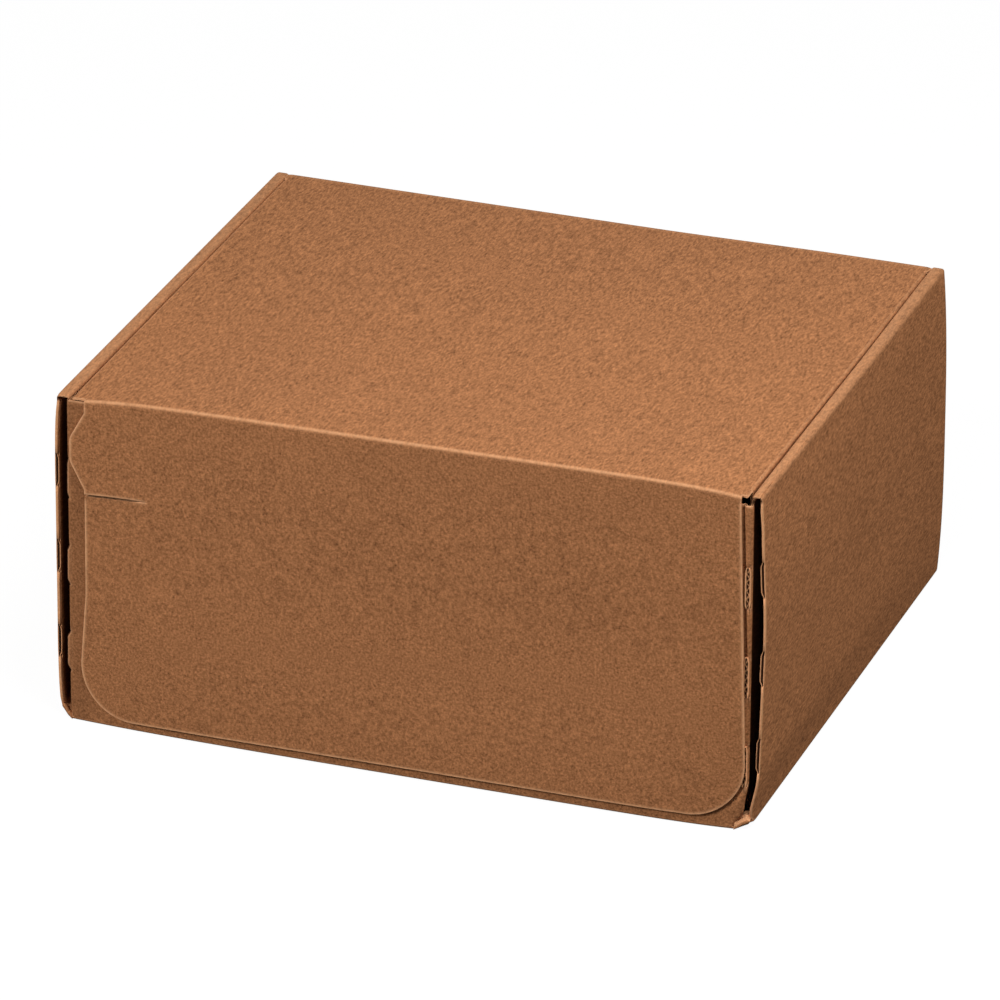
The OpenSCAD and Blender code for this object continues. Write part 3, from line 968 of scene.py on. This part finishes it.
def add_web_back(board, side):
    """Second half of a web, from the side wall's nose back along the inside of the outer wall."""
    z = np.linspace(WEB_TOP, FACET_TOP, WEB_ROWS + 1)[:, None]
    start = NOSE_Y + BOARD / 2
    shares = np.linspace(0, 1, WEB_COLUMNS + 1) ** WEB_BACK_POWER
    y = start + shares * (np.maximum(web_end(z), start + WEB_BACK_LEAST) - start)
    settled_in = ramp(y, start, WEB_SPREAD)
    swell = 0 if side > 0 else NOSE_SWELL_LEFT
    front_x = HALF_W - BOARD * (WEB_SET_IN + swell)
    back_x = HALF_W - PLY - BOARD / 2
    x = front_x + settled_in * (back_x - front_x) + bulge_at(side, y, z)
    thin = WEB_THIN + (1 - WEB_THIN) * settled_in
    # Painted shade: the web's inner face darkened inside the groove
    dark = GROOVE_PAINTED_SHADE * ramp(y, start, GROOVE_EASE)
    board.add(settled(mirrored(lattice(x, y, z), side)), thin=thin, deep=(0, dark), flip=side < 0)


def add_back_wall(board):
    """Back wall with an end flap folded in at each side, and its short tops beside the lid's fold."""
    z = np.linspace(FOLD_R, WEB_TOP, BACK_ROWS + 1)[:, None]
    wall_half = HALF_W - PLY
    turn = arc((wall_half - FOLD_R, BACK_Y - FOLD_R), 90, 0)
    flap_y = BACK_Y - FOLD_R - np.linspace(0, 1, END_FLAP_COLUMNS + 1)[1:] * (END_FLAP - FOLD_R)
    half_x = np.concatenate([turn[:, 0], np.full_like(flap_y, wall_half - BOARD / 2)])
    half_y = np.concatenate([turn[:, 1], flap_y])
    middle = np.linspace(-1, 1, WALL_COLUMNS + 1)[1:-1] * (wall_half - FOLD_R)
    x = np.concatenate([-half_x[::-1], middle, half_x])
    y = np.concatenate([half_y[::-1], np.full_like(middle, BACK_Y - BOARD / 2), half_y])
    beside = (x < -LID_HALF) | (x > LID_HALF)
    board.add(settled(lattice(x, y, z)), cut={**BOTH_ENDS, "bottom": beside})
    top_z = np.linspace(WEB_TOP, BACK_TOP, BACK_TOP_ROWS + 1)[:, None]
    top_x = np.linspace(LID_HALF, wall_half - FOLD_R, BACK_TOP_COLUMNS + 1)
    short_top = lattice(top_x, BACK_Y - BOARD / 2, top_z)
    for side in (1, -1):
        board.add(settled(mirrored(short_top, side)), cut={**BOTH_ENDS, "bottom": True}, flip=side < 0)


def add_lid_panel(board):
    """Lid panel between its folds, with the narrow edges in front of and behind its side flaps."""
    front = LID_FRONT + LID_FOLD_REACH
    back = HINGE_Y - MID_R - FOLD_FLAT
    y = spaced(front, back)[0][::-1]
    flat_half = LID_HALF - FOLD_R
    x = np.union1d(spaced(-flat_half, flat_half)[0], (FLAP_LEFT, FLAP_RIGHT))
    board.add(laid(lattice(x, y[:, None], AXIS_Z)))
    for first, last in ((-flat_half, FLAP_LEFT), (FLAP_RIGHT, flat_half)):
        corner_x = spaced(first, last, SHORT_STEP, NEAR_SHORT_EDGE)
        corner_y = np.linspace(front, LID_FRONT, LID_CORNER_ROWS + 1)[:, None]
        board.add(laid(lattice(corner_x, corner_y, AXIS_Z)), cut={"bottom": True}, closed=True)
    turn = arc((flat_half, TOP - FOLD_R), 90, LID_CURL_END)
    front_y = spaced(LID_FRONT, SIDE_FLAP_FRONT, SHORT_STEP, NEAR_SHORT_EDGE)[0][::-1]
    curl = lattice(turn[:, 0], front_y[:, None], turn[:, 1])
    back_y = spaced(SIDE_FLAP_BACK, back, SHORT_STEP, NEAR_SHORT_EDGE)[0][::-1]
    lap = (SEAM_LAP + SEAM_BACK) * ramp(back_y, SIDE_FLAP_BACK, SEAM_LAP_RUN)
    flat_x = flat_half + np.linspace(0, 1, LID_LAP_COLUMNS + 1) * (FOLD_R + lap)[:, None]
    flat = lattice(flat_x, back_y[:, None], AXIS_Z)
    sides = {"right": True, "bottom": True}
    for side in (1, -1):
        board.add(laid(mirrored(curl, side)), cut=sides, closed=True, flip=side < 0)
        board.add(laid(mirrored(flat, side)), cut=sides, flip=side < 0)


def add_side_flaps(board):
    """Side flaps of the lid, folded down between the side walls, with rounded lower corners."""
    y = spaced(SIDE_FLAP_FRONT, SIDE_FLAP_BACK, SIDE_FLAP_STEP)[0][::-1]
    from_end = np.minimum(y - SIDE_FLAP_FRONT, SIDE_FLAP_BACK - y)
    short = SIDE_FLAP_ROUND - np.clip(from_end, 0, SIDE_FLAP_ROUND)
    foot = SIDE_FLAP_FOOT + SIDE_FLAP_ROUND - np.sqrt(SIDE_FLAP_ROUND ** 2 - short ** 2)
    turn = arc((LID_HALF - FOLD_R, TOP - FOLD_R), 90, 0)
    shares = np.linspace(0, 1, SIDE_FLAP_COLUMNS + 1)[1:]
    flap_z = TOP - FOLD_R + shares * (foot - TOP + FOLD_R)[:, None]
    flap_x = np.full_like(flap_z, LID_HALF - BOARD / 2)
    x = np.concatenate([np.broadcast_to(turn[:, 0], (len(y), len(turn))), flap_x], axis=1)
    z = np.concatenate([np.broadcast_to(turn[:, 1], (len(y), len(turn))), flap_z], axis=1)
    paleness = SIDE_FLAP_WEAR * fade(z - TOP, SIDE_FLAP_WEAR_WIDE)
    sides = {"top": True, "bottom": True, "right": True}
    for side in (1, -1):
        flap = mirrored(lattice(x, y[:, None], z), side)
        board.add(laid(flap), cut=sides, wear=paleness, flip=side < 0)


def rounded_path(corners):
    """Points along a path of (x, z, radius) corners, with each inner corner rounded."""
    points = [np.array(corners[0][:2])]
    for before, corner, after in zip(corners, corners[1:], corners[2:]):
        at = np.array(corner[:2])
        radius = corner[2]
        towards = np.array(before[:2]) - at
        onwards = np.array(after[:2]) - at
        towards /= np.linalg.norm(towards)
        onwards /= np.linalg.norm(onwards)
        opening = math.acos(np.clip(towards @ onwards, -1, 1))
        reach = radius / math.tan(opening / 2)
        start, end = at + towards * reach, at + onwards * reach
        inwards = (towards + onwards) / np.linalg.norm(towards + onwards)
        centre = at + inwards * radius / math.sin(opening / 2)
        for share in np.linspace(0, 1, ROUND_STEPS + 1):
            spoke = (1 - share) * (start - centre) + share * (end - centre)
            points.append(centre + spoke / np.linalg.norm(spoke) * radius)
    return np.array(points)


def flap_edges(z):
    """Left and right edge of the front flap at each height."""
    low_left = FLAP_LEFT - FLAP_FLARE_LEFT
    low_right = FLAP_RIGHT + FLAP_FLARE_RIGHT
    ear_edge = FLAP_LEFT - EAR_OUT
    left = rounded_path([
        (FLAP_LEFT, AXIS_Z, 0),
        (FLAP_LEFT, EAR_TOP, EAR_TOP_ROUND),
        (ear_edge, EAR_EDGE[0], EAR_ROUND),
        (ear_edge, EAR_EDGE[1], EAR_ROUND),
        (FLAP_LEFT, EAR_FOOT, EAR_FOOT_ROUND),
        (FLAP_LEFT, SLIT_Z - FLAP_BEND_DROP, FLAP_BEND_ROUND),
        (low_left, FLAP_FOOT, FLAP_ROUND),
        (0, FLAP_FOOT, 0),
    ])
    right = rounded_path([(FLAP_RIGHT, AXIS_Z, 0), (low_right, FLAP_FOOT, FLAP_ROUND), (0, FLAP_FOOT, 0)])
    left_x = np.interp(-z, -left[:, 1], left[:, 0])
    right_x = np.interp(-z, -right[:, 1], right[:, 0])
    return left_x, right_x


def add_front_flap(board):
    """Front flap below its fold: an upper patch down to the slit's height, and a lower one to the foot."""
    upper_z = np.linspace(AXIS_Z - LID_FOLD_R - FOLD_FLAT, SLIT_Z, FLAP_UPPER_ROWS + 1)
    straight = np.linspace(SLIT_Z, FLAP_FOOT + FLAP_ROUND, FLAP_LOWER_ROWS + 1)[:-1]
    turn = np.radians(np.linspace(0, 90, FLAP_CORNER_ROWS + 1))
    lower_z = np.concatenate([straight, FLAP_FOOT + FLAP_ROUND * (1 - np.sin(turn))])
    for z, slit_side in ((upper_z, "bottom"), (lower_z, "top")):
        left, right = flap_edges(z)
        x = spaced(left, right, near=NEAR_EDGE + ALONG_SLIT)
        slit_x = x[-1] if slit_side == "bottom" else x[0]
        open_share = ease((SLIT_LONG - (x - left[:, None])) / SLIT_CLOSE)
        grid = lattice(x, FLAP_Y, z[:, None])
        from_slit = np.abs(z - SLIT_Z)[:, None]
        parted = open_share * np.exp(-from_slit / SLIT_WIDE_REACH) * SLIT_WIDE / 2
        if slit_side == "bottom":
            grid[..., 2] += parted
            grid[..., 1] -= SLIT_LIP * open_share * np.exp(-from_slit / SLIT_LIP_REACH)
            rim_wear = 1.0
        else:
            grid[..., 2] -= parted
            rim_wear = 1 - open_share * fade(from_slit, SLIT_RIM_REACH)
        sides = {**BOTH_ENDS, "bottom": True}
        sides[slit_side] = slit_x - slit_x[0] <= SLIT_LONG + TINY
        board.add(hung(grid), cut=sides, press=0, rim_wide=FLAP_RIM_WIDE, rim_wear=rim_wear)


def flap_fold_grid():
    """Lid's front fold, with a flat on each side of it."""
    flat_y = np.linspace(LID_FRONT + LID_FOLD_REACH, FLAP_Y + LID_FOLD_R, FLAT_STEPS + 1)[:-1]
    turn = arc((FLAP_Y + LID_FOLD_R, AXIS_Z - LID_FOLD_R), 90, 180, LID_FOLD_R, FLAP_ARC_STEPS)
    flat_z = AXIS_Z - LID_FOLD_R - np.linspace(0, FOLD_FLAT, FLAT_STEPS + 1)[1:]
    y = np.concatenate([flat_y, turn[:, 0], np.full_like(flat_z, FLAP_Y)])
    z = np.concatenate([np.full_like(flat_y, AXIS_Z), turn[:, 1], flat_z])
    return lattice(spaced(FLAP_LEFT, FLAP_RIGHT, FLAP_FOLD_STEP), y[:, None], z[:, None])


def back_fold_grid():
    """Lid's back fold, with a flat on each side of it. Its top laps over the strips' rounded edges."""
    flat_z = np.linspace(WEB_TOP, AXIS_Z - MID_R, FLAT_STEPS + 1)[:-1]
    turn = arc((HINGE_Y - MID_R, AXIS_Z - MID_R), 0, 90)
    flat_y = HINGE_Y - MID_R - np.linspace(0, FOLD_FLAT, FLAT_STEPS + 1)[1:]
    y = np.concatenate([np.full_like(flat_z, HINGE_Y), turn[:, 0], flat_y])
    z = np.concatenate([flat_z, turn[:, 1], np.full_like(flat_y, AXIS_Z)])
    half = LID_HALF + SEAM_LAP * ease((HINGE_Y - y) / MID_R)
    return lattice(spaced(-half, half), y[:, None], z[:, None])


# Colours of the materials
KRAFT_DARK = (0.14, 0.055, 0.022, 1)
KRAFT_LIGHT = (0.70, 0.298, 0.123, 1)
# Pale kraft, for wear, cut edges and the painted light on the facets' shelves
KRAFT_PALE = (0.86, 0.45, 0.23, 1)
KRAFT_SPECK = (0.15, 0.055, 0.022, 1)
# Painted shade colour, for the core's hollows and the grooves
CORE_PAINTED_SHADE = (0.03, 0.011, 0.005, 1)
FLOOR_PALE = (0.8, 0.8, 0.8, 1)
WHITE = (1, 1, 1, 1)

# Noise layers of the materials: blotches to the metre, detail, roughness, the range taken and what it gives
LINER_GRAIN = (1050, 3, 0.6, (0.25, 0.75), (-0.36, 0.36))
LINER_FIBRE = (2300, 2, 0.5, (0.25, 0.75), (-0.19, 0.19))
LINER_MOTTLE = (200, 3, 0.55, (0.3, 0.7), (-0.045, 0.045))
LINER_CLOUD = (16, 2, 0.5, (0.3, 0.7), (0.48, 0.52))
LINER_SPECKS = (700, 1, 0.4, (0.20, 0.25), (0.7, 0.0))
WEAR_PATCHES = (420, 2, 0.6, (0.3, 0.6), (0.6, 1.0))
EDGE_GRAIN = (1400, 2, 0.6, (0.3, 0.7), (0.2, 1.0))
FIBRE_RUN = (1, 0.33, 1)

# Finishes: strength and depth of the relief, roughness and specular level
LINER_FINISH = (0.35, 0.15 * MM, 0.9, 0.06)
EDGE_FINISH = (0.3, 0.1 * MM, 0.95, 0.1)

# Floor: half its width, the strength of its glow, which only the camera sees, and the glow's share in it
FLOOR_HALF = 8
FLOOR_GLOW = 1.09
FLOOR_GLOW_SHARE = 0.86


def node(tree, kind, inputs=None, **settings):
    """Adds a shader node with its settings, and links or sets its inputs."""
    made = tree.nodes.new("ShaderNode" + kind)
    for name, value in settings.items():
        setattr(made, name, value)
    for name, value in (inputs or {}).items():
        if isinstance(value, bpy.types.NodeSocket):
            tree.links.new(value, made.inputs[name])
        else:
            made.inputs[name].default_value = value
    return made


def mapped(tree, value, taken, given):
    """The value stretched from one range to another, and held within it."""
    inputs = {
        "Value": value, "From Min": taken[0], "From Max": taken[1], "To Min": given[0], "To Max": given[1],
    }
    return node(tree, "MapRange", inputs).outputs["Result"]


def noise(tree, place, layer):
    """Value of a noise layer at a place."""
    scale, detail, roughness, taken, given = layer
    inputs = {"Vector": place, "Scale": scale, "Detail": detail, "Roughness": roughness}
    return mapped(tree, node(tree, "TexNoise", inputs).outputs["Fac"], taken, given)


def attribute(tree, name):
    """Value of one of the mesh's attributes."""
    return node(tree, "Attribute", attribute_name=name).outputs["Fac"]


def added(tree, first, second):
    """Sum of two values."""
    return node(tree, "Math", {0: first, 1: second}, operation="ADD").outputs[0]


def mixed(tree, share, first, second):
    """Mix of two colours, links or constants."""
    return node(tree, "Mix", {0: share, 6: first, 7: second}, data_type="RGBA").outputs[2]


def blank_material(name):
    """Material with no nodes yet, and its node tree."""
    material = bpy.data.materials.new(name)
    material.use_nodes = True
    material.node_tree.nodes.clear()
    return material, material.node_tree


def add_surface(tree, colour, height, finish):
    """Rough surface of a material, with its colour and its fine relief."""
    strength, depth, roughness, specular = finish
    bump = node(tree, "Bump", {"Height": height, "Strength": strength, "Distance": depth}).outputs["Normal"]
    inputs = {"Base Color": colour, "Roughness": roughness, "Specular IOR Level": specular, "Normal": bump}
    surface = node(tree, "BsdfPrincipled", inputs).outputs["BSDF"]
    node(tree, "OutputMaterial", {"Surface": surface})


def liner_material():
    """Brown kraft liner: fine fibre grain, soft mottling, few dark specks, paler where it is worn and with
    painted light on the facets' shelves, darker with painted shade in the grooves and at the front wall's
    left end.
    """
    material, tree = blank_material("kraft_liner")
    place = node(tree, "TexCoord").outputs["Object"]
    place = node(tree, "Mapping", {"Vector": place, "Scale": FIBRE_RUN}).outputs["Vector"]
    relief = added(tree, noise(tree, place, LINER_GRAIN), noise(tree, place, LINER_FIBRE))
    tint = added(tree, noise(tree, place, LINER_MOTTLE), noise(tree, place, LINER_CLOUD))
    colour = mixed(tree, added(tree, relief, tint), KRAFT_DARK, KRAFT_LIGHT)
    colour = mixed(tree, noise(tree, place, LINER_SPECKS), colour, KRAFT_SPECK)
    patches = noise(tree, place, WEAR_PATCHES)
    # Paleness: real wear, plus painted light on the facets' shelves
    paleness = node(tree, "Math", {0: attribute(tree, "wear"), 1: patches}, operation="MULTIPLY").outputs[0]
    colour = mixed(tree, paleness, colour, KRAFT_PALE)
    # Painted shade in the grooves and on the front wall's left end
    colour = mixed(tree, attribute(tree, "painted_shade"), colour, CORE_PAINTED_SHADE)
    add_surface(tree, colour, relief, LINER_FINISH)
    return material


def edge_material():
    """Cut edge of the board: pale pressed fibres at the liners, painted shade in the core's hollows."""
    material, tree = blank_material("kraft_cut_edge")
    place = node(tree, "TexCoord").outputs["Object"]
    grain = noise(tree, place, EDGE_GRAIN)
    pale = mixed(tree, grain, KRAFT_LIGHT, KRAFT_PALE)
    # Painted shade in the core's hollows
    colour = mixed(tree, attribute(tree, "painted_shade"), pale, CORE_PAINTED_SHADE)
    add_surface(tree, colour, grain, EDGE_FINISH)
    return material


def floor_material():
    """Pale floor that reads as white to the camera where it isn't shaded."""
    material, tree = blank_material("pale_floor")
    seen = node(tree, "LightPath").outputs["Is Camera Ray"]
    strength = mapped(tree, seen, (0, 1), (0, FLOOR_GLOW))
    matt = node(tree, "BsdfDiffuse", {"Color": FLOOR_PALE}).outputs["BSDF"]
    glow = node(tree, "Emission", {"Color": WHITE, "Strength": strength}).outputs["Emission"]
    surface = node(tree, "MixShader", {0: FLOOR_GLOW_SHARE, 1: matt, 2: glow}).outputs["Shader"]
    node(tree, "OutputMaterial", {"Surface": surface})
    return material


LINER = liner_material()
EDGE = edge_material()


def make_tray():
    """The folded tray: base, walls, webs, facets and roll-overs."""
    board = Board()
    add_base(board)
    add_base_folds(board)
    add_front_wall(board)
    add_cut_ends(board)
    add_facets(board)
    for side in (1, -1):
        add_outer_wall(board, side)
        add_inner_wall(board, side)
        add_web_back(board, side)
    add_back_wall(board)
    piece = board.build("tray_board")
    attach(piece, "tray")
    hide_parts("tray")


def make_lid():
    """The lid panel with its side flaps."""
    board = Board()
    add_lid_panel(board)
    add_side_flaps(board)
    piece = board.build("lid_board")
    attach(piece, "lid")
    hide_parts("lid")


def make_flap():
    """The front flap with its ear and slit."""
    board = Board()
    add_front_flap(board)
    piece = board.build("front_flap_board")
    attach(piece, "front_flap")
    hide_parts("front_flap")


def make_back_fold():
    """The fold between the tray and the lid."""
    board = Board()
    board.add(settled(back_fold_grid()), cut=BOTH_ENDS, wear=BACK_FOLD_WEAR)
    piece = board.build("back_fold")
    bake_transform(piece)


def make_flap_fold():
    """The fold between the lid and the front flap."""
    board = Board()
    grid = flap_fold_grid()
    away = np.hypot(grid[..., 1] - FLAP_Y, grid[..., 2] - AXIS_Z)
    paleness = FLAP_FOLD_WEAR * fade(away, FLAP_FOLD_WEAR_WIDE)
    board.add(settled(bowed(grid)), cut=BOTH_ENDS, wear=paleness)
    piece = board.build("flap_fold")
    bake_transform(piece)


def make_floor():
    """Wide pale floor under the box."""
    corners = [(x * FLOOR_HALF, y * FLOOR_HALF, 0) for x, y in ((-1, -1), (1, -1), (1, 1), (-1, 1))]
    mesh = bpy.data.meshes.new("floor")
    mesh.from_pydata(corners, [], [(0, 1, 2, 3)])
    mesh.materials.append(floor_material())
    floor = bpy.data.objects.new("floor", mesh)
    bpy.context.scene.collection.objects.link(floor)


# Lamps: place, and power in watts
LAMPS = {
    "front_left": (Vector((-1.04, -1.42, 1.1)), 24.5),
    "over_front_right": (Vector((0.33, -0.26, 0.8)), 4.2),
    "right": (Vector((1.3, -0.05, 0.7)), 5.9),
    "back": (Vector((-0.5, 1.7, 0.35)), 5.85),
}
LAMP_SIZE = 0.6
SKY_STRENGTH = 0.04


def make_light():
    """Soft light: wide lamps at the front left, above, at the right and behind, and a faint even sky."""
    for name, (place, power) in LAMPS.items():
        lamp = bpy.data.lights.new(name, "AREA")
        lamp.shape = "DISK"
        lamp.size = LAMP_SIZE
        lamp.energy = power
        holder = bpy.data.objects.new(name, lamp)
        holder.location = place
        holder.rotation_euler = (Vector((0, 0, TOP / 2)) - place).to_track_quat("-Z", "Y").to_euler()
        bpy.context.scene.collection.objects.link(holder)
    world = bpy.data.worlds.new("sky")
    world.use_nodes = True
    tree = world.node_tree
    tree.nodes.clear()
    seen = node(tree, "LightPath").outputs["Is Camera Ray"]
    strength = mapped(tree, seen, (0, 1), (SKY_STRENGTH, 1))
    sky = node(tree, "Background", {"Color": WHITE, "Strength": strength}).outputs["Background"]
    node(tree, "OutputWorld", {"Surface": sky})
    bpy.context.scene.world = world


def make_camera():
    """Camera in front of the box, turned to its right and raised."""
    forward = Vector((
        -math.sin(CAMERA_TURN) * math.cos(CAMERA_RISE),
        math.cos(CAMERA_TURN) * math.cos(CAMERA_RISE),
        -math.sin(CAMERA_RISE),
    ))
    level = Vector((math.cos(CAMERA_TURN), math.sin(CAMERA_TURN), 0))
    upright = level.cross(forward)
    right = level * math.cos(CAMERA_ROLL) + upright * math.sin(CAMERA_ROLL)
    up = upright * math.cos(CAMERA_ROLL) - level * math.sin(CAMERA_ROLL)
    data = bpy.data.cameras.new("camera")
    data.lens = LENS_TO_SENSOR * data.sensor_width
    data.clip_end = CAMERA_CLIP
    camera = bpy.data.objects.new("camera", data)
    turn = Matrix((right, up, -forward)).transposed().to_4x4()
    camera.matrix_world = Matrix.Translation(CAMERA_AIM - forward * CAMERA_FAR) @ turn
    bpy.context.scene.collection.objects.link(camera)
    bpy.context.scene.camera = camera


make_tray()
make_lid()
make_flap()
make_back_fold()
make_flap_fold()
make_floor()
make_light()
make_camera()
bpy.context.scene.view_settings.view_transform = "Standard"
